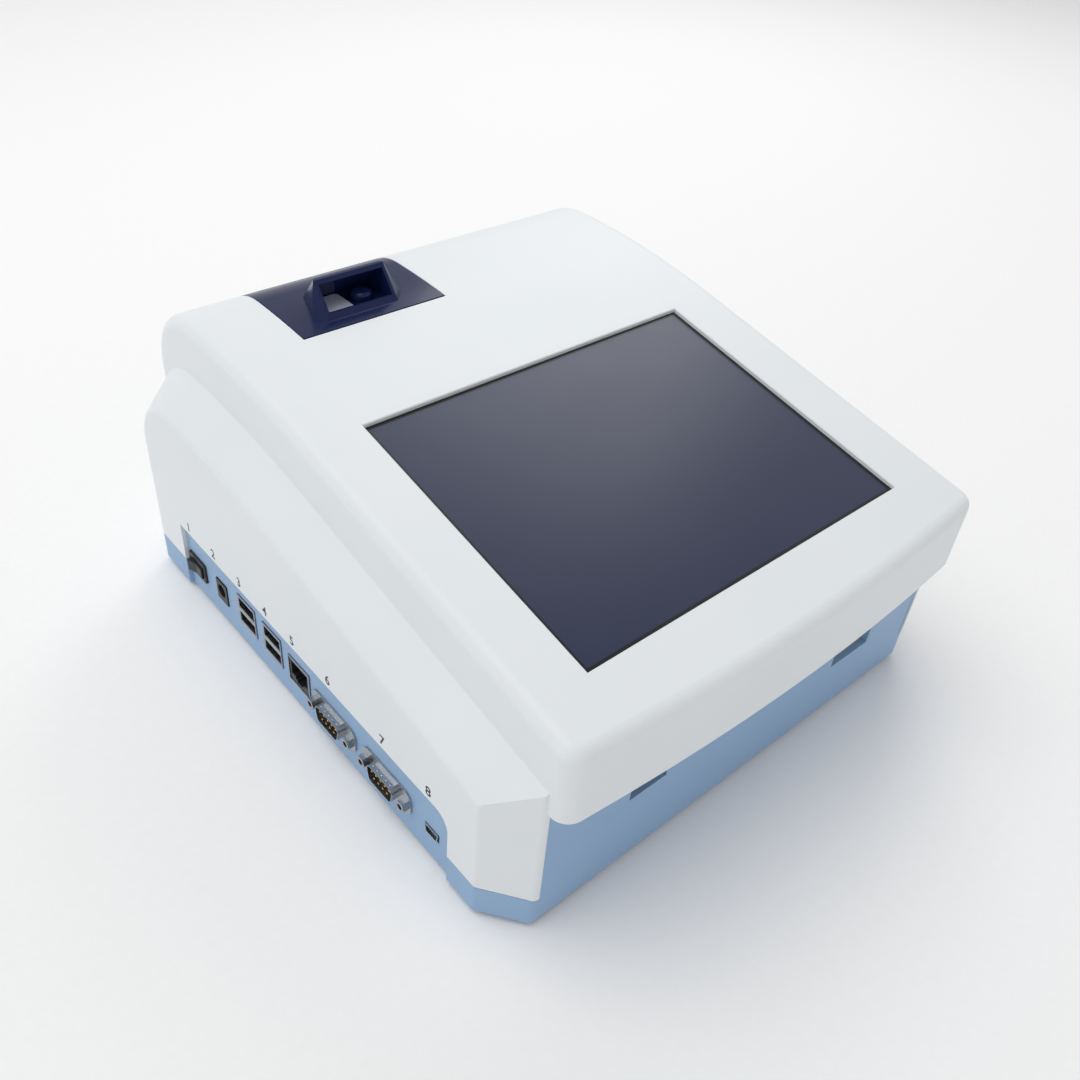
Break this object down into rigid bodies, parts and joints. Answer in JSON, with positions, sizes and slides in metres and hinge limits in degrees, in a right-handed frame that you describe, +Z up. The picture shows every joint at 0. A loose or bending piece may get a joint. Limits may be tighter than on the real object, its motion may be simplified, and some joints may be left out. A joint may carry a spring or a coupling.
{
  "type": "progesterone analyzer",
  "caption": "Benchtop test-card analyzer: white cover with a sloping touch screen, blue base, side ports and a hinged dark printer lid with a finger grip.",
  "frame": {"origin": "on the bench the feet stand on, midway between the front corners of the screen bezel (x = 0 is the case's middle, y = 0 the bezel's corners)", "axes": "+X to the user's right, +Y away from the user towards the back of the case, +Z up"},
  "size_m": [0.2418, 0.2651, 0.145],
  "materials": {
    "white_shell": "white moulded plastic, fine satin texture",
    "blue_shell": "pale blue moulded plastic, fine satin texture",
    "panel_grey": "display sandwich in a thin metal tray",
    "screen_glass": "dark smooth touch glass",
    "sheet_steel": "zinc-plated sheet steel",
    "screw_steel": "zinc-plated screw steel",
    "socket_shell": "nickel-plated socket shells",
    "gold_contact": "gold-plated contacts",
    "board_green": "fibreglass board with green mask",
    "black_plastic": "black moulded plastic",
    "dark_lid": "dark navy glossy plastic",
    "pale_pad": "grey-blue plastic pad",
    "grey_plastic": "grey moulded plastic",
    "black_rubber": "black rubber",
    "heat_aluminium": "extruded aluminium",
    "paper": "thermal paper, wound",
    "card_core": "cardboard tube",
    "lens_glass": "clear lens glass"
  },
  "bodies": {
    "case": {"top_shell": "white_shell", "base_shell": "blue_shell", "front_panel": "blue_shell", "port_panel": "blue_shell", "touch_panel": "screen_glass", "lcd_module": "panel_grey", "lcd_frame": "sheet_steel", "lcd_screws": "screw_steel", "main_board": "board_green", "board_screws": "screw_steel", "board_chips": "black_plastic", "heat_sink": "heat_aluminium", "usb_rear": "socket_shell", "usb_front": "socket_shell", "usb_tongues": "black_plastic", "lan_shell": "socket_shell", "lan_insert": "black_plastic", "lan_contacts": "gold_contact", "dc_jack": "black_plastic", "dc_pin": "gold_contact", "com2_shell": "socket_shell", "com1_shell": "socket_shell", "com_inserts": "black_plastic", "com_pins": "gold_contact", "jack_screws": "screw_steel", "mini_usb": "socket_shell", "power_switch": "black_plastic", "printer_bay": "grey_plastic", "bay_screws": "screw_steel", "print_head": "heat_aluminium", "print_strip": "black_plastic", "paper_roll": "paper", "roll_core": "card_core", "printer_motor": "sheet_steel", "lid_pin": "screw_steel", "card_guide": "grey_plastic", "bench_frame": "sheet_steel", "guide_rods": "screw_steel", "scan_head": "black_plastic", "scan_lens": "lens_glass", "lead_screw": "screw_steel", "scan_motor": "sheet_steel", "card_tray": "grey_plastic", "chip_socket": "black_plastic", "chip_contacts": "gold_contact", "feet": "black_rubber", "case_screws": "screw_steel"},
    "lid": {"printer_lid": "dark_lid", "grip_pad": "pale_pad"},
    "platen": {"platen_roller": "black_rubber", "platen_axle": "screw_steel"},
    "rocker": {"power_rocker": "black_plastic"}
  },
  "joints": [
    {"name": "lid_hinge", "type": "hinge", "parent": "case", "child": "lid", "pos_m": [-0.04015, 0.23859, 0.12724], "axis": [-1, 0, 0], "range_deg": [0, 85]},
    {"name": "platen_spin", "type": "hinge", "parent": "lid", "child": "platen", "pos_m": [-0.04015, 0.203, 0.123], "axis": [1, 0, 0], "continuous": true},
    {"name": "power_tip", "type": "hinge", "parent": "case", "child": "rocker", "pos_m": [-0.117, 0.2246, 0.0175], "axis": [0, 0, -1], "range_deg": [0, 18]}
  ]
}
